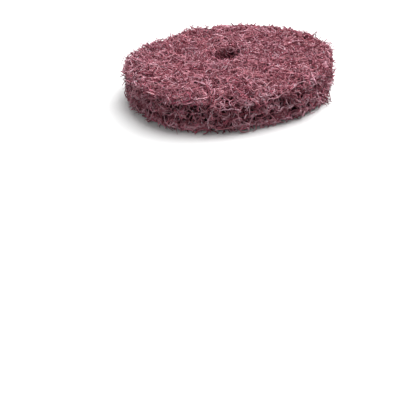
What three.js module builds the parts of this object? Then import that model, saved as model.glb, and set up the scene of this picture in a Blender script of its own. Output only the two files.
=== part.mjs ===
import * as THREE from 'three';
import { SimplexNoise } from 'three/addons/math/SimplexNoise.js';

// Non-woven abrasive wheel: one flat round disc of springy fibre web, die-cut from a mat
// that is laid up in plies, with a plain hole for an arbor.
// Millimetres, +Z up. The origin is on the hole's axis, on the underside.

const { degToRad, euclideanModulo, lerp, radToDeg, smoothstep } = THREE.MathUtils;

// Driving dimensions of the disc
const wheelDiameter = 75;
const wheelThickness = 13;
const boreDiameter = 9.5;
const flangeLand = 3; // ring round the hole on each face, without pores, where a flange bears
const topEdgeRadius = 2.1;
const bottomEdgeRadius = 2.4;

// Plies of the mat, which show as dark lines round the side
const plyCount = 3;
const seamDepth = 1.5;
const seamHeight = 2; // how tall the mouth of a seam is
const plyWander = 0.7; // how far a seam rises and falls on its way round

// Open web: strands stand at the surface, and pores lie between them
const poreSpacing = 6.6;
const poreHeight = 3.2; // on the side the strands lie flat, so pores there are lower than they are long
const facePoreDepth = 1.8;
const sidePoreDepth = 1;
const landFade = 2.2; // width over which the pores deepen from the level ring outwards

// Outline left by the die and by handling: corners stand out, flats lie in
const outlineLobes = [
  { towards: 8, out: 0.7, spread: 10 },
  { towards: 31, out: -0.8, spread: 13 },
  { towards: 58, out: 0.6, spread: 12 },
  { towards: 112, out: 0.9, spread: 9 },
  { towards: 133, out: -0.9, spread: 14 },
  { towards: 155, out: 0.4, spread: 9 },
  { towards: 174, out: 0.6, spread: 9 },
  { towards: 208, out: -0.6, spread: 14 },
  { towards: 236, out: 0.4, spread: 10 },
  { towards: 292, out: -0.4, spread: 12 },
  { towards: 314, out: 0.8, spread: 11 },
  { towards: 343, out: -0.5, spread: 9 },
];
const edgeWander = 0.35; // fine unevenness of the cut edge
const edgeWanderLength = 7;

// Where the top has given way: the rim droops on one side, and the mouth of the hole is worn
// wider on the other. Directions and spreads are in degrees.
const rimSag = { towards: 281, spread: 30, drop: 3.2, inward: 11 };
const mouthWear = { towards: 96, fullSpread: 25, spread: 78, drop: 2.6, outward: 6 };

// Facets: points round the full diameter, and rows along each stretch of the profile
const topFacets = { around: 170, rows: 22 };
const undersideFacets = { around: 108, rows: 13 };
const sideFacets = { around: 124, rowsPerPly: 5, rowsPerEdge: 4 };
const landRows = 2;
const boreFacets = 30;

const outerRadius = wheelDiameter / 2;
const boreRadius = boreDiameter / 2;
const landRadius = boreRadius + flangeLand;

const material = new THREE.MeshStandardMaterial({
  color: 0x8c505a,
  roughness: 0.95,
  metalness: 0,
  flatShading: true,
});

// Noise that is the same on every run
THREE.MathUtils.seededRandom(29);
const noise = new SimplexNoise({ random: () => THREE.MathUtils.seededRandom() });

// Degrees between two directions, the short way round
function degreesApart(angle, towards) {
  const turn = angle - degToRad(towards);
  return Math.abs(radToDeg(euclideanModulo(turn + Math.PI, 2 * Math.PI) - Math.PI));
}

// How far the cut edge stands out of the true circle in one direction
function edgeOffset(angle) {
  const wander = noise.noise(
    (outerRadius * Math.cos(angle)) / edgeWanderLength,
    (outerRadius * Math.sin(angle)) / edgeWanderLength,
  );
  let offset = edgeWander * wander;
  for (const lobe of outlineLobes) {
    const share = degreesApart(angle, lobe.towards) / lobe.spread;
    offset += lobe.out * Math.exp(-share * share);
  }
  return offset;
}

// How open the web is at a point: 0 on a strand, 1 in the middle of a pore.
// Strands lie where one of two noise fields passes through zero, so they cross and curl.
function openness(x, y, z) {
  const across = x / poreSpacing;
  const along = y / poreSpacing;
  const up = z / poreHeight;
  const bend = 0.35 * noise.noise3d(across / 2, along / 2, up / 2 + 9);
  const first = Math.abs(noise.noise3d(across + bend, along - bend, up));
  const second = Math.abs(noise.noise3d(along + bend, across + 31, up + 17));
  return smoothstep(Math.min(first, second), 0.05, 0.42);
}

// Depth of the nearest ply seam at a height on the side: a groove that closes up here and there
function seamGroove(angle, height) {
  const pitch = wheelThickness / plyCount;
  const nearest = Math.round(height / pitch);
  if (nearest < 1 || nearest >= plyCount) return 0;
  const away = Math.abs(height - nearest * pitch) / (seamHeight / 2);
  const parting = noise.noise3d(3 * Math.cos(angle), 3 * Math.sin(angle), 5 * nearest);
  return seamDepth * Math.max(0, 1 - away) * lerp(0.35, 1, 0.5 + 0.5 * parting);
}

// Rise or fall of the plies in one direction at a height, which dies out at both faces
function plyRise(angle, height) {
  const wave = noise.noise3d(2 * Math.cos(angle), 2 * Math.sin(angle), 40);
  const share = height / wheelThickness;
  return plyWander * wave * 4 * share * (1 - share);
}

// How far the top has sunk at a place, by the drooping rim and the worn mouth of the hole
function topDrop(radius, angle, height) {
  const turned = degreesApart(angle, rimSag.towards) / rimSag.spread;
  const outwards = Math.max(0, 1 - (outerRadius - radius) / rimSag.inward);
  const rim = rimSag.drop * Math.exp(-turned * turned) * outwards * outwards;
  const beside = degreesApart(angle, mouthWear.towards);
  const facing = 1 - smoothstep(beside, mouthWear.fullSpread, mouthWear.spread);
  const inwards = 1 - smoothstep(radius, boreRadius, boreRadius + mouthWear.outward);
  const mouth = mouthWear.drop * facing * inwards;
  return rim * (height / wheelThickness) + mouth * smoothstep(height, wheelThickness / 2, wheelThickness);
}

// One row of points along the profile: a place and its outward direction, in radius and height
function station(radius, height, outR, outZ, around) {
  return { radius, height, outR, outZ, around };
}

// Rows across one face from the hole's edge to where the rounded edge starts
function faceStations(height, outZ, faceEdge, facets) {
  const rows = [];
  for (let row = 0; row <= landRows; row++) {
    rows.push(lerp(boreRadius, landRadius, row / landRows));
  }
  for (let row = 1; row <= facets.rows; row++) {
    rows.push(lerp(landRadius, faceEdge, row / facets.rows));
  }
  return rows.map((radius) => {
    const around = Math.round((facets.around * radius) / outerRadius);
    return station(radius, height, 0, outZ, Math.max(boreFacets, around));
  });
}

// Rows round a quarter-round edge between its two ends, from one direction to the next
function edgeStations(centreHeight, edgeRadius, fromAngle, toAngle) {
  const centre = outerRadius - edgeRadius;
  const arc = new THREE.EllipseCurve(0, 0, edgeRadius, edgeRadius, fromAngle, toAngle);
  return arc
    .getPoints(sideFacets.rowsPerEdge)
    .slice(1, -1)
    .map((p) => {
      const outR = p.x / edgeRadius;
      const outZ = p.y / edgeRadius;
      return station(centre + p.x, centreHeight + p.y, outR, outZ, sideFacets.around);
    });
}

// Rows up the side, one of them on each seam
function sideStations() {
  const low = bottomEdgeRadius;
  const high = wheelThickness - topEdgeRadius;
  const pitch = wheelThickness / (plyCount * sideFacets.rowsPerPly);
  const heights = [low];
  for (let height = pitch; height < high; height += pitch) {
    if (height > low + pitch / 3 && height < high - pitch / 3) heights.push(height);
  }
  heights.push(high);
  return heights.map((height) => station(outerRadius, height, 1, 0, sideFacets.around));
}

// The closed profile: out along the underside, up the side, in along the top, down the hole
function profileStations() {
  const quarter = Math.PI / 2;
  const undersideEdge = outerRadius - bottomEdgeRadius;
  const topEdge = outerRadius - topEdgeRadius;
  const topEdgeCentre = wheelThickness - topEdgeRadius;
  const underside = faceStations(0, -1, undersideEdge, undersideFacets);
  const top = faceStations(wheelThickness, 1, topEdge, topFacets).reverse();
  const boreMiddle = station(boreRadius, wheelThickness / 2, -1, 0, boreFacets);
  return [
    ...underside,
    ...edgeStations(bottomEdgeRadius, bottomEdgeRadius, -quarter, 0),
    ...sideStations(),
    ...edgeStations(topEdgeCentre, topEdgeRadius, 0, quarter),
    ...top,
    boreMiddle,
  ];
}

// A point of the web's surface: the plain profile turned to one direction, then let out to the
// cut outline, moved with its ply and let in by the pores and seams
function surfacePoint(row, angle) {
  const reach = smoothstep(row.radius, landRadius, outerRadius);
  const onSide = smoothstep(row.outR, 0, 1);
  const open = smoothstep(row.radius, landRadius, landRadius + landFade);
  const plainRadius = row.radius + reach * edgeOffset(angle);
  const rise = onSide * plyRise(angle, row.height);
  const plainHeight = row.height + rise - topDrop(row.radius, angle, row.height);
  const x = plainRadius * Math.cos(angle);
  const y = plainRadius * Math.sin(angle);
  const poreDepth = lerp(facePoreDepth, sidePoreDepth, onSide);
  const pore = poreDepth * openness(x, y, plainHeight);
  const seam = onSide * seamGroove(angle, row.height);
  const depth = open * (pore + seam);
  const radius = plainRadius - depth * row.outR;
  const height = plainHeight - depth * row.outZ;
  return new THREE.Vector3(radius * Math.cos(angle), radius * Math.sin(angle), height);
}

// Triangles between two neighbouring rings, which may hold different numbers of points
function stitch(ring, next, index) {
  let i = 0;
  let j = 0;
  while (i < ring.count || j < next.count) {
    const ringTurn = (i + 1 + ring.stagger) / ring.count;
    const nextTurn = (j + 1 + next.stagger) / next.count;
    const here = ring.start + (i % ring.count);
    const there = next.start + (j % next.count);
    if (j >= next.count || (i < ring.count && ringTurn <= nextTurn)) {
      index.push(here, ring.start + ((i + 1) % ring.count), there);
      i++;
    } else {
      index.push(here, next.start + ((j + 1) % next.count), there);
      j++;
    }
  }
}

// Rings of points round the axis, one for each row of the profile, sewn into a closed skin
function loftRound(rows) {
  const points = [];
  const rings = rows.map((row, k) => {
    const ring = { start: points.length, count: row.around, stagger: k % 2 ? 0.5 : 0 };
    for (let i = 0; i < ring.count; i++) {
      const angle = (2 * Math.PI * (i + ring.stagger)) / ring.count;
      points.push(surfacePoint(row, angle));
    }
    return ring;
  });
  const index = [];
  rings.forEach((ring, k) => stitch(ring, rings[(k + 1) % rings.length], index));
  const geometry = new THREE.BufferGeometry().setFromPoints(points);
  geometry.setIndex(index);
  geometry.computeVertexNormals();
  return geometry;
}

const disc = new THREE.Mesh(loftRound(profileStations()), material);
disc.name = 'abrasive_disc';

const wheel = new THREE.Group();
wheel.add(disc);

export default wheel;
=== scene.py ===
import math

import bmesh
import bpy
import numpy as np
from mathutils import Matrix, Vector, noise


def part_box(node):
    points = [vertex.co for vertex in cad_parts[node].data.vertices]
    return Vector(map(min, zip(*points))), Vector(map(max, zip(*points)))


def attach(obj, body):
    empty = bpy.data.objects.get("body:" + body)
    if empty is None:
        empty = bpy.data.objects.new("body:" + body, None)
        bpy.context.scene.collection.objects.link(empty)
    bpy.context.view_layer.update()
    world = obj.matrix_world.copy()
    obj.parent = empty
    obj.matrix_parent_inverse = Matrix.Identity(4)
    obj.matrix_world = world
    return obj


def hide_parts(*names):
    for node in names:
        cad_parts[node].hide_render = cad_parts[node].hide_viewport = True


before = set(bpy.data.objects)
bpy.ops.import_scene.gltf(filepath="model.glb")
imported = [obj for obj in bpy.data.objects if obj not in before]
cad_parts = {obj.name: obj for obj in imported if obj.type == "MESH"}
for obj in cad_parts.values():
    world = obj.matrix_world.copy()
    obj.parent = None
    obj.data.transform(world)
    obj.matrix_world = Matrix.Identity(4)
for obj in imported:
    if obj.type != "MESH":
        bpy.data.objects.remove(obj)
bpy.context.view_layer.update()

# Non-woven abrasive wheel, in metres: a core painted dark as the shade deep in the web, coats of curly fibre
# over it, tufts on its rim and a few fibres across the mouth of its hole
mm = 0.001
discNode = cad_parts["abrasive_disc"]
lowCorner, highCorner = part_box("abrasive_disc")
thickness = highCorner.z - lowCorner.z


# Colours are written as they look on screen, from 0 to 255
def screenColour(red, green, blue):
    shares = [c / 255 for c in (red, green, blue)]
    return tuple(c / 12.92 if c <= 0.04045 else ((c + 0.055) / 1.055) ** 2.4 for c in shares) + (1.0,)


# Small helpers for node trees
def feed(tree, socket, value):
    if isinstance(value, bpy.types.NodeSocket):
        tree.links.new(value, socket)
    else:
        socket.default_value = value


def addNode(tree, kind, inputs=None, **settings):
    node = tree.nodes.new(kind)
    for name, value in settings.items():
        setattr(node, name, value)
    for key, value in (inputs or {}).items():
        feed(tree, node.inputs[key], value)
    return node


def calc(tree, operation, *terms):
    return addNode(tree, "ShaderNodeMath", dict(enumerate(terms)), operation=operation).outputs[0]


def vectorCalc(tree, operation, *terms):
    node = addNode(tree, "ShaderNodeVectorMath", dict(enumerate(terms)), operation=operation)
    givesNumber = operation in ("DOT_PRODUCT", "DISTANCE", "LENGTH")
    return node.outputs["Value" if givesNumber else "Vector"]


def stretch(tree, vector, factor):
    node = addNode(tree, "ShaderNodeVectorMath", {"Vector": vector, "Scale": factor}, operation="SCALE")
    return node.outputs["Vector"]


def axisOf(tree, vector, axis):
    return addNode(tree, "ShaderNodeSeparateXYZ", {0: vector}).outputs[axis]


# From low at the start to high at the end, and level outside them
def ramp(tree, value, start, end, low=0.0, high=1.0, kind="LINEAR"):
    inputs = {"Value": value, "From Min": start, "From Max": end, "To Min": low, "To Max": high}
    return addNode(tree, "ShaderNodeMapRange", inputs, interpolation_type=kind).outputs["Result"]


# The colour sockets of a mix node come after its number and vector sockets
def mixColours(tree, factor, first, second):
    inputs = {0: factor, 6: first, 7: second}
    return addNode(tree, "ShaderNodeMix", inputs, data_type="RGBA").outputs[2]


def noiseAt(tree, place, size, detail=0.0):
    node = addNode(tree, "ShaderNodeTexNoise", {"Vector": place, "Detail": detail})
    feed(tree, node.inputs["Scale"], calc(tree, "DIVIDE", 1.0, size))
    return node


def addSockets(tree, wanted, direction="INPUT"):
    for label, kind, *default in wanted:
        socket = tree.interface.new_socket(name=label, in_out=direction, socket_type="NodeSocket" + kind)
        if default:
            socket.default_value = default[0]


def setInputs(modifier, values):
    sockets = modifier.node_group.interface.items_tree
    identifiers = {s.name: s.identifier for s in sockets if s.in_out == "INPUT"}
    for label, value in values.items():
        modifier[identifiers[label]] = value


# Camera: the photograph's frame, with the wheel at the same place, size and angle in it
photoView = {
    "frameSide": 416,  # pixels
    "focalLength": 620,  # pixels
    "wheelAt": (228.2, 72.4),  # pixel of the wheel's middle
    "distance": 0.2323,
    "pitch": 33.1,  # degrees that the camera looks down
    "lean": -4.57,  # degrees that the wheel leans, which the camera takes up
    "sensorWidth": 36,  # millimetres
    "nearestSeen": 0.005,
}


def makeCamera(view):
    pitch = math.radians(view["pitch"])
    ahead = Vector((0, math.cos(pitch), -math.sin(pitch)))
    up = Vector((0, math.sin(pitch), math.cos(pitch)))
    right = Vector((1, 0, 0))
    middle = view["frameSide"] / 2
    across, down = ((p - middle) / view["focalLength"] for p in view["wheelAt"])
    toWheel = (ahead + right * across - up * down).normalized() * view["distance"]
    upright = Matrix.Rotation(-math.radians(view["lean"]), 3, "Y")
    turn = upright @ Matrix((right, up, -ahead)).transposed()
    place = upright @ -toWheel + Vector((0, 0, thickness / 2))
    data = bpy.data.cameras.new("camera")
    data.sensor_width = view["sensorWidth"]
    data.lens = data.sensor_width * view["focalLength"] / view["frameSide"]
    data.clip_start = view["nearestSeen"]
    camera = bpy.data.objects.new("camera", data)
    bpy.context.scene.collection.objects.link(camera)
    camera.matrix_world = Matrix.Translation(place) @ turn.to_4x4()
    bpy.context.scene.camera = camera


makeCamera(photoView)
print("camera placed")

# Shader group for what both materials share: resin lumps, grit and pale specks of painted glint over a colour
gritFinish = {
    "lumpSize": 1.6 * mm,  # patches where the resin lies thicker
    "lumpDetail": 2.0,
    "thinPatch": 0.3,  # lump noise where a patch is darkest
    "thickPatch": 0.7,  # and where it is palest
    "gritSize": 0.16 * mm,
    "gritDetail": 1.0,
    "speckSize": 0.6 * mm,
    "speckLevel": 0.8,  # noise over which a grain's painted glint shows when the speck share is 0
    "speckSpread": 0.5,  # how far the speck share lowers that level
    "speckEdge": 14.0,  # how sharply a painted glint ends
    "roughest": 0.85,
    "gritPolish": 0.25,  # how much smoother the grit's tops are
    "bumpStrength": 0.5,
}


def makeGritGroup(finish):
    tree = bpy.data.node_groups.new("resin and grit", "ShaderNodeTree")
    addSockets(tree, [("Colour", "Color"), ("Patchiness", "Float", 0.3), ("Speck Share", "Float", 0.1)])
    addSockets(tree, [("Speck Colour", "Color")])
    addSockets(tree, [("Colour", "Color"), ("Roughness", "Float"), ("Height", "Float")], "OUTPUT")
    given = tree.nodes.new("NodeGroupInput").outputs
    result = tree.nodes.new("NodeGroupOutput").inputs
    place = tree.nodes.new("ShaderNodeTexCoord").outputs["Object"]
    lumps = noiseAt(tree, place, finish["lumpSize"], finish["lumpDetail"]).outputs["Fac"]
    grit = noiseAt(tree, place, finish["gritSize"], finish["gritDetail"]).outputs["Fac"]
    # Patches: darker and lighter by the same share either way
    shade = ramp(tree, lumps, finish["thinPatch"], finish["thickPatch"])
    low = calc(tree, "SUBTRACT", 1.0, given["Patchiness"])
    high = calc(tree, "ADD", 1.0, given["Patchiness"])
    factor = calc(tree, "ADD", low, calc(tree, "MULTIPLY", shade, calc(tree, "SUBTRACT", high, low)))
    patched = stretch(tree, given["Colour"], factor)
    # Specks: bare flat grains with painted glints, paler than the resin
    spots = noiseAt(tree, place, finish["speckSize"]).outputs["Fac"]
    lowered = calc(tree, "MULTIPLY", given["Speck Share"], finish["speckSpread"])
    level = calc(tree, "SUBTRACT", finish["speckLevel"], lowered)
    speck = calc(tree, "MULTIPLY", calc(tree, "SUBTRACT", spots, level), finish["speckEdge"])
    speck = addNode(tree, "ShaderNodeClamp", {"Value": speck}).outputs["Result"]
    feed(tree, result["Colour"], mixColours(tree, speck, patched, given["Speck Colour"]))
    polished = calc(tree, "MULTIPLY", grit, finish["gritPolish"])
    feed(tree, result["Roughness"], calc(tree, "SUBTRACT", finish["roughest"], polished))
    feed(tree, result["Height"], grit)
    return tree


gritGroup = makeGritGroup(gritFinish)


def gritMaterial(name, colour, look):
    material = bpy.data.materials.new(name)
    material.use_nodes = True
    tree = material.node_tree
    shader = tree.nodes["Principled BSDF"]
    coat = addNode(tree, "ShaderNodeGroup", node_tree=gritGroup)
    feed(tree, coat.inputs["Colour"], colour(tree) if callable(colour) else colour)
    for label, value in look["coat"].items():
        feed(tree, coat.inputs[label], value)
    bump = addNode(tree, "ShaderNodeBump", {
        "Height": coat.outputs["Height"],
        "Distance": look["bumpDepth"],
        "Strength": gritFinish["bumpStrength"],
    })
    feed(tree, shader.inputs["Base Color"], coat.outputs["Colour"])
    feed(tree, shader.inputs["Roughness"], coat.outputs["Roughness"])
    feed(tree, shader.inputs["Normal"], bump.outputs["Normal"])
    feed(tree, shader.inputs["Specular IOR Level"], look["shine"])
    return material


# Fibres run from deep maroon to a few pale pink ones, by a number that each fibre carries
fibreTones = [
    (0.0, screenColour(104, 41, 56)),
    (0.25, screenColour(149, 81, 94)),
    (0.65, screenColour(181, 118, 130)),
    (0.9, screenColour(197, 144, 156)),
    (1.0, screenColour(210, 166, 178)),
]
warmTint = (1.04, 0.98, 0.94, 1.0)
coolTint = (0.97, 1.01, 1.06, 1.0)
tintTurns = 17.0  # times that the tint runs from warm to cool along the tones
shadePowers = (1.0, 1.22, 1.17)  # how fast red, green and blue fade in the painted shade, which deepens redder
# Palest that a fibre is painted, which caps the painted highlights
palestFibre = screenColour(212, 164, 176)[:3]


def fibreColour(tree):
    tone = addNode(tree, "ShaderNodeAttribute", attribute_name="fibreTone").outputs["Fac"]
    tones = addNode(tree, "ShaderNodeValToRGB", {"Fac": tone})
    stops = tones.color_ramp.elements
    for at, colour in fibreTones[1:-1]:
        stops.new(at)
    for stop, (at, colour) in zip(stops, fibreTones):
        stop.position = at
        stop.color = colour
    # The tone's finer digits turn the fibre a little warmer or cooler
    hue = calc(tree, "FRACT", calc(tree, "MULTIPLY", tone, tintTurns))
    tint = mixColours(tree, hue, warmTint, coolTint)
    tinted = vectorCalc(tree, "MULTIPLY", tones.outputs["Color"], tint)
    # Painted shade: deep in the web the fibres are darker and redder, and outer ones lighter as painted
    # highlights, by the shade that the fibre tree has stored
    shade = addNode(tree, "ShaderNodeAttribute", attribute_name="shade").outputs["Fac"]
    shares = {axis: calc(tree, "POWER", shade, power) for axis, power in zip("XYZ", shadePowers)}
    deep = addNode(tree, "ShaderNodeCombineXYZ", shares).outputs[0]
    return vectorCalc(tree, "MINIMUM", vectorCalc(tree, "MULTIPLY", tinted, deep), palestFibre)


fibreLook = {
    "bumpDepth": 0.05 * mm,
    "shine": 0.12,
    # Pale lilac specks on the fibres: bare grains with painted glints
    "coat": {"Patchiness": 0.22, "Speck Share": 0.14, "Speck Colour": screenColour(236, 212, 224)},
}
coreLook = {
    "bumpDepth": 0.3 * mm,
    "shine": 0.03,
    "coat": {"Patchiness": 0.5, "Speck Share": 0.02, "Speck Colour": screenColour(100, 44, 56)},
}
# Painted shade: the web's maroon darkened to stand for the shade deep inside it
coreShadeColour = screenColour(50, 14, 24)
fibreMaterial = gritMaterial("maroon fibre", fibreColour, fibreLook)
coreMaterial = gritMaterial("shaded web", coreShadeColour, coreLook)

# Core: what shows in the depth of the pores, a little inside the imported solid, painted darker than any
# fibre as painted shade
coreShape = {
    "smoothing": 3,  # rounds
    "smoothShare": 0.5,  # how far each round moves a point
    "inset": 1.8 * mm,
    "lumpSize": 2.2 * mm,
    "lumpDepth": 0.4 * mm,
}
mergeWithin = 0.001 * mm


def cleanCopy(node):
    mesh = bmesh.new()
    mesh.from_mesh(node.data)
    bmesh.ops.remove_doubles(mesh, verts=mesh.verts, dist=mergeWithin)
    mesh.normal_update()
    return mesh


def newPiece(name, mesh, material):
    piece = bpy.data.objects.new(name, mesh)
    mesh.materials.clear()
    mesh.materials.append(material)
    bpy.context.scene.collection.objects.link(piece)
    return piece


def makeCore(shape):
    mesh = cleanCopy(discNode)
    allWays = {"use_axis_x": True, "use_axis_y": True, "use_axis_z": True}
    for rounds in range(shape["smoothing"]):
        bmesh.ops.smooth_vert(mesh, verts=mesh.verts, factor=shape["smoothShare"], **allWays)
    mesh.normal_update()
    for vert in mesh.verts:
        vert.co -= vert.normal * shape["inset"]
    bmesh.ops.subdivide_edges(mesh, edges=mesh.edges, cuts=1, use_grid_fill=True)
    mesh.normal_update()
    normals = [v.normal.copy() for v in mesh.verts]
    for vert, normal in zip(mesh.verts, normals):
        lump = noise.noise(vert.co / shape["lumpSize"])
        vert.co += normal * lump * shape["lumpDepth"]
    for face in mesh.faces:
        face.smooth = True
    data = bpy.data.meshes.new("web_core")
    mesh.to_mesh(data)
    mesh.free()
    return newPiece("web_core", data, coreMaterial)


core = makeCore(coreShape)
print("core made,", len(core.data.polygons), "faces")

# Fibres: a tree scatters them over a guide, which is the solid's own surface. It bends each into
# an arc, crumples it, lays it along the guide and gives it a round section.
fibreNumbers = [
    "Fibres Per Area", "Length", "Thickness", "Least Turn", "Most Turn", "Plane Tilt",
    "Crumple", "Crumple Size", "Lay", "Steepness", "Lowest Slope", "Highest Slope",
    "Lowest Lift", "Highest Lift", "Soft Ceiling", "Pressing", "Wobble", "Tip Rise",
    "Pit Size", "Pit Depth", "Bare Hollow", "Hollow Dip", "Hollow Weight",
    "Ply Height", "Seam Reach", "Seam Depth", "Seam Shade",
    "Lit Depth", "Shade Depth", "Highest Shade", "Deepest Shade",
    "Mouth Radius", "Mouth Depth", "Mouth Bareness", "Mouth Shade", "Tuft Size", "Tuft Share",
]
noiseStretch = 4.0  # noise keeps to the middle of its range, and this brings it to 1 either way
# What every coat has in common
webHabit = {
    "hollowBlur": 5,  # rounds of smoothing that a hollow's depth is measured from
    "seamWander": 0.35 * mm,
    "wanderSize": 12 * mm,
    "seamStretches": 9 * mm,  # length in which a seam opens or closes up
    "stretchFlatness": 3,  # how much shorter those stretches are upwards
    "seamOpening": 2.0,  # times the noise, which is a half on average
    "seamHeart": 0.3,  # share of a seam's reach that is fully open
    "seamBare": 0.6,  # nearness to a seam past which nothing takes root
    "mouthSlope": 0.45,  # least slope of what counts as the mouth's upper side
    # Least and most that one fibre has, as shares of its coat's own value
    "lengths": (0.6, 1.35),
    "widths": (0.7, 1.25),
    "tipRises": (-0.2, 1.0),
    "sinkShares": (0.3, 1.0),
    "tipPower": 3.0,  # how late a fibre's end starts to rise
    "wobbleSize": 2.2 * mm,
    "pitStart": 0.52,  # pit noise where a pit starts
    "pitBottom": 0.34,  # and where it is deepest
    "mouthHeart": 0.4,  # share of the mouth's radius that is let down fully
    "floorGap": 0.75,  # least height over the floor, in fibre thicknesses
    "endWidth": 0.45,  # width of a fibre's ends, as a share of its middle's
    "endTaper": 3.0,  # how soon it reaches its full width
    "sectionShare": 1.75,  # how often the three-sided section's radius goes into the thickness
}


def hereOn(tree):
    return tree.nodes.new("GeometryNodeInputPosition").outputs["Position"]


def normalOn(tree):
    return tree.nodes.new("GeometryNodeInputNormal").outputs["Normal"]


def store(tree, geometry, name, value, kind="FLOAT"):
    inputs = {"Geometry": geometry, "Name": name, "Value": value}
    node = addNode(tree, "GeometryNodeStoreNamedAttribute", inputs, data_type=kind, domain="POINT")
    return node.outputs["Geometry"]


def recall(tree, name, kind="FLOAT"):
    node = addNode(tree, "GeometryNodeInputNamedAttribute", {"Name": name}, data_type=kind)
    return node.outputs["Attribute"]


def recallVector(tree, name):
    return recall(tree, name, "FLOAT_VECTOR")


def randomNumber(tree, seed, low, high, offset):
    inputs = {2: low, 3: high, 8: calc(tree, "ADD", seed, offset)}
    return addNode(tree, "FunctionNodeRandomValue", inputs).outputs[1]


def randomVector(tree, seed, low, high, offset):
    inputs = {0: low, 1: high, 8: calc(tree, "ADD", seed, offset)}
    return addNode(tree, "FunctionNodeRandomValue", inputs, data_type="FLOAT_VECTOR").outputs[0]


# Noise to either side of nothing, as far as the amount
def centred(tree, place, size, amount):
    shade = noiseAt(tree, place, size).outputs["Color"]
    level = vectorCalc(tree, "SUBTRACT", shade, (0.5, 0.5, 0.5))
    return stretch(tree, level, calc(tree, "MULTIPLY", amount, noiseStretch))


# How near a place is to a seam between two plies. Seams wander, and part more in some places.
def nearSeam(tree, given, place):
    wander = centred(tree, place, webHabit["wanderSize"], webHabit["seamWander"])
    height = calc(tree, "ADD", axisOf(tree, place, "Z"), axisOf(tree, wander, "X"))
    plies = calc(tree, "DIVIDE", height, given["Ply Height"])
    seam = calc(tree, "ROUND", plies)
    isSeam = calc(tree, "COMPARE", seam, 1.5, 0.6)  # seams 1 and 2, and not the two faces
    apart = calc(tree, "ABSOLUTE", calc(tree, "SUBTRACT", plies, seam))
    apart = calc(tree, "MULTIPLY", apart, given["Ply Height"])
    flattened = vectorCalc(tree, "MULTIPLY", place, (1, 1, webHabit["stretchFlatness"]))
    opening = noiseAt(tree, flattened, webHabit["seamStretches"]).outputs["Fac"]
    opening = calc(tree, "MULTIPLY", opening, webHabit["seamOpening"])
    reach = calc(tree, "MULTIPLY", given["Seam Reach"], opening)
    heart = calc(tree, "MULTIPLY", reach, webHabit["seamHeart"])
    return calc(tree, "MULTIPLY", ramp(tree, apart, reach, heart, kind="SMOOTHSTEP"), isSeam)


# Stores how far each place on the guide lies under its smoothed self, and makes the guide finer
def measureHollows(tree, guide):
    blur = {"Iterations": webHabit["hollowBlur"]}
    smoothed = addNode(tree, "GeometryNodeBlurAttribute", blur, data_type="FLOAT_VECTOR")
    here = hereOn(tree)
    feed(tree, next(s for s in smoothed.inputs if s.name == "Value" and s.enabled), here)
    rise = vectorCalc(tree, "SUBTRACT", next(s for s in smoothed.outputs if s.enabled), here)
    guide = store(tree, guide, "sunk", vectorCalc(tree, "DOT_PRODUCT", rise, normalOn(tree)))
    return addNode(tree, "GeometryNodeSubdivisionSurface", {"Mesh": guide, "Level": 1}).outputs["Mesh"]


# Roots on the part of the guide that faces between the two slopes, without those that lie
# outside the tufts, in the mouth of the hole, in a deep hollow or in an open seam
def scatterRoots(tree, given, guide):
    slope = axisOf(tree, normalOn(tree), "Z")
    above = calc(tree, "GREATER_THAN", slope, given["Lowest Slope"])
    below = calc(tree, "LESS_THAN", slope, given["Highest Slope"])
    scatter = addNode(tree, "GeometryNodeDistributePointsOnFaces", {
        "Mesh": guide,
        "Selection": calc(tree, "MULTIPLY", above, below),
        "Density": given["Fibres Per Area"],
        "Seed": given["Seed"],
    }).outputs
    roots = store(tree, scatter["Points"], "outward", scatter["Normal"], "FLOAT_VECTOR")
    here = hereOn(tree)
    tuft = noiseAt(tree, here, given["Tuft Size"]).outputs["Fac"]
    outsideTufts = calc(tree, "GREATER_THAN", tuft, given["Tuft Share"])
    toMouth = vectorCalc(tree, "DISTANCE", here, given["Mouth Place"])
    bareRadius = calc(tree, "MULTIPLY", given["Mouth Radius"], given["Mouth Bareness"])
    upwards = axisOf(tree, recallVector(tree, "outward"), "Z")
    facesUp = calc(tree, "GREATER_THAN", upwards, webHabit["mouthSlope"])
    inMouth = calc(tree, "MULTIPLY", calc(tree, "LESS_THAN", toMouth, bareRadius), facesUp)
    inHollow = calc(tree, "GREATER_THAN", recall(tree, "sunk"), given["Bare Hollow"])
    hasSeams = calc(tree, "GREATER_THAN", given["Seam Shade"], 0.0)
    seam = calc(tree, "MULTIPLY", nearSeam(tree, given, here), hasSeams)
    bare = calc(tree, "GREATER_THAN", seam, webHabit["seamBare"])
    for spot in (outsideTufts, inMouth, inHollow):
        bare = calc(tree, "MAXIMUM", bare, spot)
    kept = addNode(tree, "GeometryNodeDeleteGeometry", {"Geometry": roots, "Selection": bare})
    return kept.outputs["Geometry"]


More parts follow.
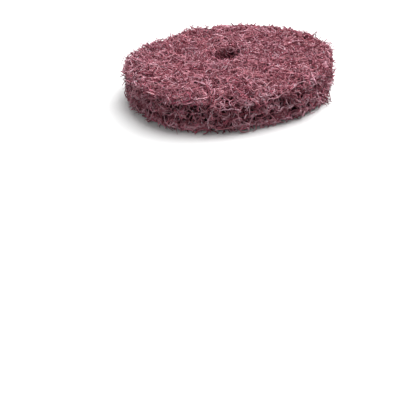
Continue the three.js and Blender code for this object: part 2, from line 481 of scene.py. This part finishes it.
# What each fibre carries: its middle, its directions, its turn, length, lift, width and tone
def dressRoots(tree, given, roots):
    seed = given["Seed"]
    outward = recallVector(tree, "outward")
    sides = {"X": 1.0, "Y": given["Lay"], "Z": given["Steepness"]}
    widest = addNode(tree, "ShaderNodeCombineXYZ", sides).outputs[0]
    aim = randomVector(tree, seed, stretch(tree, widest, -1.0), widest, 1)
    level = stretch(tree, outward, vectorCalc(tree, "DOT_PRODUCT", aim, outward))
    along = vectorCalc(tree, "NORMALIZE", vectorCalc(tree, "SUBTRACT", aim, level))
    vectors = {
        "middle": hereOn(tree),
        "along": along,
        "aside": vectorCalc(tree, "CROSS_PRODUCT", outward, along),
        "own": randomVector(tree, seed, (0, 0, 0), (1, 1, 1), 2),
    }
    for name, value in vectors.items():
        roots = store(tree, roots, name, value, "FLOAT_VECTOR")
    lowestTilt = calc(tree, "MULTIPLY", given["Plane Tilt"], -1.0)
    ranges = {  # lowest, highest, and what is added to the seed
        "turn": (given["Least Turn"], given["Most Turn"], 3),
        "lift": (given["Lowest Lift"], given["Highest Lift"], 4),
        "reach": (*webHabit["lengths"], 5),
        "width": (*webHabit["widths"], 6),
        "rise": (*webHabit["tipRises"], 7),
        "fibreTone": (0.0, 1.0, 8),
        "tilt": (lowestTilt, given["Plane Tilt"], 9),
        "sink": (*webHabit["sinkShares"], 10),
    }
    for name, drawn in ranges.items():
        roots = store(tree, roots, name, randomNumber(tree, seed, *drawn))
    return store(tree, roots, "number", tree.nodes.new("GeometryNodeInputIndex").outputs["Index"])


# One straight line of a few steps at each root
def drawLines(tree, given, roots):
    line = addNode(tree, "GeometryNodeCurvePrimitiveLine").outputs["Curve"]
    steps = {"Curve": line, "Count": given["Steps"]}
    line = addNode(tree, "GeometryNodeResampleCurve", steps).outputs["Curve"]
    copies = addNode(tree, "GeometryNodeInstanceOnPoints", {"Points": roots, "Instance": line})
    lines = addNode(tree, "GeometryNodeRealizeInstances", {"Geometry": copies.outputs["Instances"]})
    share = tree.nodes.new("GeometryNodeSplineParameter").outputs["Factor"]
    return store(tree, lines.outputs["Geometry"], "share", share)


# Where the bent and crumpled line runs, what it adds to the lift, and a place of each fibre's
# own from which noise is taken
def bendLine(tree, given):
    turn = recall(tree, "turn")
    length = calc(tree, "MULTIPLY", given["Length"], recall(tree, "reach"))
    radius = calc(tree, "DIVIDE", length, turn)
    angle = calc(tree, "MULTIPLY", turn, calc(tree, "SUBTRACT", recall(tree, "share"), 0.5))
    forth = calc(tree, "MULTIPLY", radius, calc(tree, "SINE", angle))
    over = calc(tree, "MULTIPLY", radius, calc(tree, "SUBTRACT", 1.0, calc(tree, "COSINE", angle)))
    sideways = calc(tree, "MULTIPLY", over, calc(tree, "COSINE", recall(tree, "tilt")))
    upwards = calc(tree, "MULTIPLY", over, calc(tree, "SINE", recall(tree, "tilt")))
    forward = stretch(tree, recallVector(tree, "along"), forth)
    place = vectorCalc(tree, "ADD", recallVector(tree, "middle"), forward)
    place = vectorCalc(tree, "ADD", place, stretch(tree, recallVector(tree, "aside"), sideways))
    apart = vectorCalc(tree, "ADD", place, recallVector(tree, "own"))
    crumple = centred(tree, apart, given["Crumple Size"], given["Crumple"])
    return vectorCalc(tree, "ADD", place, crumple), upwards, apart


# Height over the guide: over and under the others, with one end standing up a little
def plainLift(tree, given, upwards, apart):
    weave = axisOf(tree, centred(tree, apart, webHabit["wobbleSize"], given["Wobble"]), "X")
    late = calc(tree, "POWER", recall(tree, "share"), webHabit["tipPower"])
    tip = calc(tree, "MULTIPLY", calc(tree, "MULTIPLY", late, recall(tree, "rise")), given["Tip Rise"])
    lift = calc(tree, "ADD", recall(tree, "lift"), weave)
    lift = calc(tree, "ADD", calc(tree, "ADD", lift, tip), upwards)
    # What stands over the ceiling is pressed back to a share of its height
    spare = calc(tree, "MAXIMUM", calc(tree, "SUBTRACT", lift, given["Soft Ceiling"]), 0.0)
    return calc(tree, "SUBTRACT", lift, calc(tree, "MULTIPLY", spare, given["Pressing"]))


# The place, the normal and the hollow's depth on the guide next to a place
def sampleGuide(tree, guide, place):
    wanted = {
        "place": (hereOn(tree), "FLOAT_VECTOR"),
        "normal": (normalOn(tree), "FLOAT_VECTOR"),
        "sunk": (recall(tree, "sunk"), "FLOAT"),
    }
    near = {}
    for label, (value, kind) in wanted.items():
        inputs = {"Mesh": guide, "Value": value, "Sample Position": place}
        node = addNode(tree, "GeometryNodeSampleNearestSurface", inputs, data_type=kind)
        near[label] = node.outputs["Value"]
    return near


# Laid on the guide, down into the pits, hollows and seams and into the mouth of the hole, and given its
# painted shade
def layLines(tree, given, guide, lines):
    place, upwards, apart = bendLine(tree, given)
    near = sampleGuide(tree, guide, place)
    # Each fibre dives into a pit by its own share
    pit = noiseAt(tree, place, given["Pit Size"]).outputs["Fac"]
    pit = ramp(tree, pit, webHabit["pitStart"], webHabit["pitBottom"], kind="SMOOTHSTEP")
    pit = calc(tree, "MULTIPLY", calc(tree, "MULTIPLY", pit, recall(tree, "sink")), given["Pit Depth"])
    away = vectorCalc(tree, "DISTANCE", place, given["Mouth Place"])
    away = calc(tree, "DIVIDE", away, given["Mouth Radius"])
    mouth = ramp(tree, away, 1.0, webHabit["mouthHeart"], kind="SMOOTHSTEP")
    facesUp = calc(tree, "MAXIMUM", axisOf(tree, near["normal"], "Z"), 0.0)
    letDown = calc(tree, "MULTIPLY", calc(tree, "MULTIPLY", mouth, facesUp), given["Mouth Depth"])
    hollow = calc(tree, "MULTIPLY", calc(tree, "MAXIMUM", near["sunk"], 0.0), given["Hollow Dip"])
    seam = nearSeam(tree, given, near["place"])
    parting = calc(tree, "MULTIPLY", seam, given["Seam Depth"])
    lift = plainLift(tree, given, upwards, apart)
    for lower in (calc(tree, "ADD", pit, letDown), hollow, parting):
        lift = calc(tree, "SUBTRACT", lift, lower)
    # Painted shade: darker with depth, in the mouth and in the seams; a highest shade over 1 paints the outer
    # fibres lighter, as painted highlights
    depth = calc(tree, "SUBTRACT", calc(tree, "MULTIPLY", near["sunk"], given["Hollow Weight"]), lift)
    shade = ramp(tree, depth, given["Lit Depth"], given["Shade Depth"],
                 given["Highest Shade"], given["Deepest Shade"])
    for spot, amount in ((mouth, given["Mouth Shade"]), (seam, given["Seam Shade"])):
        left = calc(tree, "SUBTRACT", 1.0, calc(tree, "MULTIPLY", spot, amount))
        shade = calc(tree, "MULTIPLY", shade, left)
    lines = store(tree, lines, "shade", shade)
    laid = vectorCalc(tree, "ADD", near["place"], stretch(tree, near["normal"], lift))
    # Nothing goes through the floor
    lowest = calc(tree, "MULTIPLY", given["Thickness"], webHabit["floorGap"])
    parts = {axis: axisOf(tree, laid, axis) for axis in "XYZ"}
    parts["Z"] = calc(tree, "MAXIMUM", parts["Z"], lowest)
    kept = addNode(tree, "ShaderNodeCombineXYZ", parts).outputs[0]
    return addNode(tree, "GeometryNodeSetPosition", {"Geometry": lines, "Position": kept}).outputs["Geometry"]


# Three-sided section, shaded as a round one and thinner towards both ends
def roundOut(tree, given, lines):
    toEnd = calc(tree, "MINIMUM", recall(tree, "share"), calc(tree, "SUBTRACT", 1.0, recall(tree, "share")))
    taper = calc(tree, "ADD", calc(tree, "MULTIPLY", toEnd, webHabit["endTaper"]), webHabit["endWidth"])
    taper = calc(tree, "MINIMUM", taper, 1.0)
    section = addNode(tree, "GeometryNodeCurvePrimitiveCircle", {"Resolution": 3}).outputs["Curve"]
    radius = calc(tree, "DIVIDE", given["Thickness"], webHabit["sectionShare"])
    sized = {"Geometry": section, "Position": stretch(tree, hereOn(tree), radius)}
    section = addNode(tree, "GeometryNodeSetPosition", sized).outputs["Geometry"]
    around = tree.nodes.new("GeometryNodeSplineParameter").outputs["Factor"]
    tubes = addNode(tree, "GeometryNodeCurveToMesh", {
        "Curve": lines,
        "Profile Curve": store(tree, section, "around", around),
        "Scale": calc(tree, "MULTIPLY", recall(tree, "width"), taper),
        "Fill Caps": True,
    }).outputs["Mesh"]
    return addNode(tree, "GeometryNodeSetShadeSmooth", {"Geometry": tubes}).outputs["Geometry"]


def makeFibreTree():
    tree = bpy.data.node_groups.new("curly fibres", "GeometryNodeTree")
    addSockets(tree, [("Guide", "Geometry")])
    addSockets(tree, [(label, "Float") for label in fibreNumbers])
    addSockets(tree, [("Mouth Place", "Vector"), ("Steps", "Int"), ("Seed", "Int")])
    addSockets(tree, [("Fibre Material", "Material")])
    addSockets(tree, [("Fibres", "Geometry")], "OUTPUT")
    given = tree.nodes.new("NodeGroupInput").outputs
    guide = measureHollows(tree, given["Guide"])
    roots = dressRoots(tree, given, scatterRoots(tree, given, guide))
    lines = layLines(tree, given, guide, drawLines(tree, given, roots))
    tubes = addNode(tree, "GeometryNodeRealizeInstances", {"Geometry": roundOut(tree, given, lines)})
    painted = {"Geometry": tubes.outputs["Geometry"], "Material": given["Fibre Material"]}
    painted = addNode(tree, "GeometryNodeSetMaterial", painted).outputs["Geometry"]
    addNode(tree, "NodeGroupOutput", {"Fibres": painted})
    return tree


fibreTree = makeFibreTree()
# What the tree stores for its own use, which the finished pieces don't keep
fibreHelpers = [
    "outward", "middle", "along", "aside", "own", "turn", "lift", "reach", "width", "rise", "sink",
    "tilt", "number", "share", "around", "sunk",
]
# Each fibre's cell in the bake map, in shares of its sides
bakeCell = {
    "sideFrom": 0.08,
    "sideLength": 0.84,
    "roundFrom": 0.04,
    "roundHeight": 0.92,
    "endFrom": 0.01,
    "endLength": 0.05,
    "endLow": 0.1,
    "endStep": 0.4,
    "flatness": 6,  # how many times as long as high a cell is
}


# A map in which every fibre lies unrolled in a cell of its own, its two ends beside it
def mapFibres(mesh, cell):
    def values(name, count):
        numbers = np.empty(count, dtype=np.float32)
        mesh.attributes[name].data.foreach_get("value", numbers)
        return numbers

    corners = np.empty(len(mesh.loops), dtype=np.int32)
    mesh.loops.foreach_get("vertex_index", corners)
    counts = np.empty(len(mesh.polygons), dtype=np.int32)
    mesh.polygons.foreach_get("loop_total", counts)
    stored = (values(name, len(mesh.vertices)) for name in ("number", "share", "around"))
    number, share, around = (each[corners] for each in stored)
    face = np.repeat(np.arange(len(counts)), counts)
    # The strip that closes the round runs from two thirds to one, not back to nothing
    wraps = np.zeros(len(counts), dtype=bool)
    np.logical_or.at(wraps, face, around > 0.5)
    starts = np.zeros(len(counts), dtype=bool)
    np.logical_or.at(starts, face, around < 0.1)
    isEnd = np.repeat(counts == 3, counts)
    closing = np.repeat(wraps & starts, counts) & (around < 0.1) & ~isEnd
    across = np.where(closing, 1.0, around)
    u = cell["sideFrom"] + cell["sideLength"] * share
    v = cell["roundFrom"] + cell["roundHeight"] * across
    place = np.arange(len(corners)) - np.repeat(np.cumsum(counts) - counts, counts)
    endU = cell["endFrom"] + cell["endLength"] * (place == 1)
    u = np.where(isEnd, np.where(share > 0.5, 1.0 - endU, endU), u)
    v = np.where(isEnd, cell["endLow"] + cell["endStep"] * place, v)
    fibres = int(number.max()) + 1
    columns = max(1, round(math.sqrt(fibres / cell["flatness"])))
    rows = math.ceil(fibres / columns)
    index = number.round().astype(np.int64)
    u = (index % columns + u) / columns
    v = (index // columns + v) / rows
    layer = mesh.uv_layers.new(name="OFBake")
    layer.uv.foreach_set("vector", np.stack([u, v], axis=1).astype(np.float32).ravel())


# The solid's surface, whole or only round some places on it
def makeGuide(places, around):
    mesh = cleanCopy(discNode)
    if places:
        points = [Vector(place) for place in places]
        far = [
            face for face in mesh.faces
            if min((face.calc_center_median() - point).length for point in points) > around
        ]
        bmesh.ops.delete(mesh, geom=far, context="FACES")
    return mesh


def growFibres(name, values, mesh=None):
    guide = bpy.data.objects.new(name + "_guide", bpy.data.meshes.new(name + "_guide"))
    mesh = mesh or cleanCopy(discNode)
    mesh.to_mesh(guide.data)
    mesh.free()
    bpy.context.scene.collection.objects.link(guide)
    modifier = guide.modifiers.new("fibres", "NODES")
    modifier.node_group = fibreTree
    setInputs(modifier, values)
    graph = bpy.context.evaluated_depsgraph_get()
    evaluated = guide.evaluated_get(graph)
    grown = bpy.data.meshes.new_from_object(evaluated, preserve_all_data_layers=True, depsgraph=graph)
    guide.modifiers.remove(modifier)
    bpy.data.objects.remove(guide)
    mapFibres(grown, bakeCell)
    for label in fibreHelpers:
        if label in grown.attributes:
            grown.attributes.remove(grown.attributes[label])
    grown.name = name
    piece = newPiece(name, grown, fibreMaterial)
    triangles = sum(len(p.vertices) - 2 for p in grown.polygons)
    print(name, "grown,", triangles, "triangles")
    return piece


perSquareMm = 1e6
commonFibre = {
    "Length": 10 * mm,
    "Thickness": 0.36 * mm,
    "Least Turn": 0.8,  # radians from one end to the other
    "Most Turn": 5.4,
    "Plane Tilt": 1.5,  # radians out of the surface, either way
    "Crumple": 0.55 * mm,
    "Crumple Size": 2.6 * mm,
    "Lay": 1.0,  # over 1, more fibres run from front to back
    "Steepness": 0.5,  # under 1, fewer fibres run up and down
    "Soft Ceiling": 0.0,  # height over which a fibre is pressed back
    "Pressing": 0.5,
    "Wobble": 0.5 * mm,
    "Tip Rise": 0.8 * mm,
    "Pit Size": 2.4 * mm,
    "Pit Depth": 1.7 * mm,
    "Bare Hollow": 9 * mm,  # deeper than any hollow, so none is bare
    "Hollow Dip": 0.0,
    # How much more painted shade a hollow gets than its depth alone gives
    "Hollow Weight": 1.0,
    "Ply Height": thickness / 3,
    "Seam Reach": 1.0 * mm,
    "Seam Depth": 0.0,
    # Share of painted shade in an open seam
    "Seam Shade": 0.0,
    "Lit Depth": 0.2 * mm,  # depth at which a fibre has its highest painted shade
    "Shade Depth": 2.8 * mm,  # and its deepest
    "Highest Shade": 1.0,
    "Deepest Shade": 0.36,
    "Mouth Place": (0.0, 3.0 * mm, thickness - 1 * mm),
    "Mouth Radius": 8 * mm,
    "Mouth Depth": 2.8 * mm,
    "Mouth Bareness": 0.6,  # share of its radius in which nothing takes root
    # Share of painted shade at the heart of the hole's mouth
    "Mouth Shade": 0.5,
    "Tuft Size": 9 * mm,
    "Tuft Share": 1.0,
    "Steps": 10,
    "Fibre Material": fibreMaterial,
}
# Slopes run from -1, which faces down, to 1, which faces up
topFacing = {"Lowest Slope": 0.45, "Highest Slope": 1.1, "Lay": 1.6}
sideFacing = {
    "Lowest Slope": -0.45,
    "Highest Slope": 0.45,
    "Thickness": 0.46 * mm,
    "Steepness": 0.28,
    "Pit Depth": 2.1 * mm,
    "Bare Hollow": 0.6 * mm,
    "Hollow Dip": 0.8,
    # The side's painted shade is deep in hollows and seams and nearly black further down, and its outer
    # fibres are painted over twice as light, as painted highlights
    "Hollow Weight": 2.0,
    "Seam Depth": 1.3 * mm,
    "Seam Shade": 0.8,
    "Lit Depth": -0.3 * mm,
    "Shade Depth": 0.85 * mm,
    "Highest Shade": 2.35,
    "Deepest Shade": 0.06,
}
undersideFacing = {"Lowest Slope": -1.1, "Highest Slope": -0.45}
coats = {
    "web_top_lower": {
        **topFacing,
        "Fibres Per Area": 0.62 * perSquareMm,
        "Lowest Lift": -2.2 * mm,
        "Highest Lift": -0.8 * mm,
        "Mouth Bareness": 0.0,
        "Seed": 11,
    },
    "web_top_upper": {
        **topFacing,
        "Fibres Per Area": 0.62 * perSquareMm,
        "Lowest Lift": -0.8 * mm,
        "Highest Lift": 0.25 * mm,
        "Seed": 12,
    },
    "web_side_lower": {
        **sideFacing,
        "Fibres Per Area": 0.85 * perSquareMm,
        "Lowest Lift": -1.7 * mm,
        "Highest Lift": -0.7 * mm,
        "Seed": 13,
    },
    "web_side_upper": {
        **sideFacing,
        "Fibres Per Area": 0.7 * perSquareMm,
        "Lowest Lift": -0.8 * mm,
        "Highest Lift": 0.2 * mm,
        "Pressing": 0.45,
        "Tip Rise": 1.0 * mm,
        "Seed": 15,
    },
    "web_underside": {
        **undersideFacing,
        "Fibres Per Area": 0.48 * perSquareMm,
        "Lowest Lift": -1.4 * mm,
        "Highest Lift": 0.0,
        "Mouth Depth": 0.0,
        "Seed": 14,
    },
    "web_strands": {  # longer ones that lie over the top and its rim
        "Fibres Per Area": 0.2 * perSquareMm,
        "Length": 13 * mm,
        "Thickness": 0.38 * mm,
        "Most Turn": 6.0,
        "Crumple": 0.4 * mm,
        "Lowest Lift": -0.2 * mm,
        "Highest Lift": 0.4 * mm,
        "Lowest Slope": 0.15,
        "Highest Slope": 1.1,
        "Wobble": 0.35 * mm,
        "Pit Depth": 0.6 * mm,
        # Painted a little lighter, as a painted highlight
        "Highest Shade": 1.1,
        "Steps": 13,
        "Seed": 17,
    },
    "web_strays": {  # short loose ends, in patches
        "Fibres Per Area": 0.4 * perSquareMm,
        "Length": 5.2 * mm,
        "Thickness": 0.22 * mm,
        "Lowest Lift": -0.6 * mm,
        "Highest Lift": 0.0,
        "Lowest Slope": -0.5,
        "Highest Slope": 1.1,
        "Pressing": 0.1,
        "Tip Rise": 2.2 * mm,
        "Tuft Share": 0.5,
        "Steps": 7,
        "Seed": 16,
    },
}
pieces = [growFibres(name, {**commonFibre, **values}) for name, values in coats.items()]

# Tufts that stand off the rim in three places
tufts = {
    "places": [
        (-14.5 * mm, 34.5 * mm, 12 * mm),
        (35.5 * mm, 12.0 * mm, 12 * mm),
        (32.5 * mm, -19.0 * mm, 2.5 * mm),
    ],
    "around": 3.6 * mm,
}
tuftFibre = {
    "Fibres Per Area": 1.0 * perSquareMm,
    "Length": 5.0 * mm,
    "Thickness": 0.26 * mm,
    "Lowest Lift": -0.4 * mm,
    "Highest Lift": 0.1 * mm,
    "Lowest Slope": -1.1,
    "Highest Slope": 1.1,
    "Pressing": 0.0,
    "Tip Rise": 4.2 * mm,
    "Seed": 18,
}
pieces.append(growFibres("web_tufts", {**commonFibre, **tuftFibre}, makeGuide(**tufts)))

# A few fibres that hang across the mouth of the hole, over a dish
mouthDish = {
    "segments": 12,
    "middle": (0.0, 0.8 * mm),
    "radius": 6.2 * mm,
    "rise": 0.2 * mm,  # of its rim under the top face
    "depth": 4.6 * mm,
    "flare": 1.5,  # how flat its middle is
    "fall": -0.16,  # how much lower each millimetre to the back lies
}
mouthFibre = {
    "Fibres Per Area": 0.32 * perSquareMm,
    "Length": 7 * mm,
    "Plane Tilt": 0.5,
    "Lowest Lift": -0.6 * mm,
    "Highest Lift": 0.2 * mm,
    "Lowest Slope": -1.1,
    "Highest Slope": 1.1,
    "Tip Rise": 0.3 * mm,
    "Pit Depth": 0.5 * mm,
    "Mouth Depth": 0.0,
    "Mouth Bareness": 0.0,
    "Seed": 19,
}


def makeDish(dish):
    mesh = bmesh.new()
    segments = dish["segments"]
    bmesh.ops.create_grid(mesh, x_segments=segments, y_segments=segments, size=dish["radius"])
    outside = [v for v in mesh.verts if v.co.xy.length > dish["radius"]]
    bmesh.ops.delete(mesh, geom=outside, context="VERTS")
    for vert in mesh.verts:
        share = vert.co.xy.length / dish["radius"]
        below = dish["rise"] + dish["depth"] * (1 - share ** dish["flare"])
        vert.co.z = thickness - below + dish["fall"] * vert.co.y
        vert.co.xy += Vector(dish["middle"])
    mesh.normal_update()
    return mesh


pieces.append(growFibres("web_mouth", {**commonFibre, **mouthFibre}, makeDish(mouthDish)))

for piece in [core] + pieces:
    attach(piece, "root")
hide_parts("abrasive_disc")
print("pieces ride on the wheel")

# Stage: a pale floor, soft light from above and an even surround
studio = {
    "floorHalf": 3.0,
    "fadeFrom": 0.18,  # metres from the wheel where the floor starts to fade to the white around it
    "fadeTo": 0.5,
    "floorColour": screenColour(242, 242, 242),
    "floorBounce": 0.25,  # what share of its light the floor throws back on the wheel
    "floorRoughness": 0.9,
    "floorShine": 0.1,
    "surround": 0.22,
    "key": {"size": 0.9, "power": 12.6, "at": (0.28, 0.26, 0.58)},
    "fill": {"size": 0.15, "power": 0.6, "at": (-0.1, -0.5, 0.3)},
}


# 1 for what the camera sees, in a reflection too, and 0 for the light thrown on the wheel
def seenDirectly(tree):
    light = tree.nodes.new("ShaderNodeLightPath").outputs
    seen = calc(tree, "ADD", light["Is Camera Ray"], light["Is Glossy Ray"])
    return calc(tree, "MINIMUM", calc(tree, "ADD", seen, light["Is Transmission Ray"]), 1.0)


def makeFloor(stage):
    half = stage["floorHalf"]
    corners = [(-half, -half, 0), (half, -half, 0), (half, half, 0), (-half, half, 0)]
    mesh = bpy.data.meshes.new("floor")
    mesh.from_pydata(corners, [], [(0, 1, 2, 3)])
    paint = bpy.data.materials.new("pale floor")
    paint.use_nodes = True
    tree = paint.node_tree
    shader = tree.nodes["Principled BSDF"].inputs
    seen = seenDirectly(tree)
    bounce = [c * stage["floorBounce"] for c in stage["floorColour"][:3]] + [1.0]
    colour = mixColours(tree, seen, bounce, stage["floorColour"])
    away = vectorCalc(tree, "LENGTH", tree.nodes.new("ShaderNodeTexCoord").outputs["Object"])
    fade = ramp(tree, away, stage["fadeFrom"], stage["fadeTo"], kind="SMOOTHSTEP")
    feed(tree, shader["Base Color"], stretch(tree, colour, calc(tree, "SUBTRACT", 1.0, fade)))
    feed(tree, shader["Emission Color"], (1, 1, 1, 1))
    feed(tree, shader["Emission Strength"], calc(tree, "MULTIPLY", seen, fade))
    feed(tree, shader["Roughness"], stage["floorRoughness"])
    feed(tree, shader["Specular IOR Level"], stage["floorShine"])
    newPiece("floor", mesh, paint)


def makeLight(stage):
    for name in ("key", "fill"):
        lamp = bpy.data.lights.new(name, "AREA")
        lamp.size = stage[name]["size"]
        lamp.energy = stage[name]["power"]
        light = bpy.data.objects.new(name, lamp)
        light.location = stage[name]["at"]
        light.rotation_euler = (-Vector(stage[name]["at"])).to_track_quat("-Z", "Y").to_euler()
        bpy.context.scene.collection.objects.link(light)
    world = bpy.data.worlds.new("surround")
    bpy.context.scene.world = world
    world.use_nodes = True
    tree = world.node_tree
    levels = {0: seenDirectly(tree), 2: stage["surround"], 3: 1.0}
    background = tree.nodes["Background"].inputs
    feed(tree, background["Color"], (1, 1, 1, 1))
    feed(tree, background["Strength"], addNode(tree, "ShaderNodeMix", levels).outputs[0])


makeFloor(studio)
makeLight(studio)
bpy.context.scene.view_settings.view_transform = "Standard"
print("stage lit")
